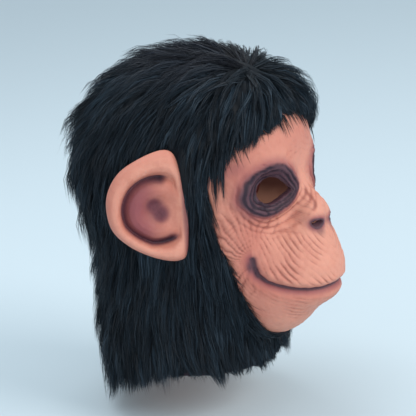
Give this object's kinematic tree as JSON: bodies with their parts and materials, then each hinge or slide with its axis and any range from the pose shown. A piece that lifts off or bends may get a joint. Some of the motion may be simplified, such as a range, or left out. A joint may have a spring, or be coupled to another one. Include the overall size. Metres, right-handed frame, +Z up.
{
  "type": "ape mask",
  "caption": "Full-head latex ape mask with open eye holes, cast round ears, a wrinkled muzzle and a long black fur coat that hangs past the neck hem.",
  "frame": {"origin": "inside the crown of the latex head, where the mask sits on the top of the wearer's head", "axes": "+Z up through the crown; the face looks along -Y; the mask's own right side is at -X"},
  "size_m": [0.275, 0.2983, 0.3826],
  "materials": {
    "latex": "satin",
    "fur": "long pile"
  },
  "bodies": {
    "root": {"latex_head": "latex", "ear_left": "latex", "ear_right": "latex", "fur_crown": "fur", "fur_nape": "fur", "fur_beard": "fur", "sideburn_left": "fur", "sideburn_right": "fur"}
  },
  "joints": []
}
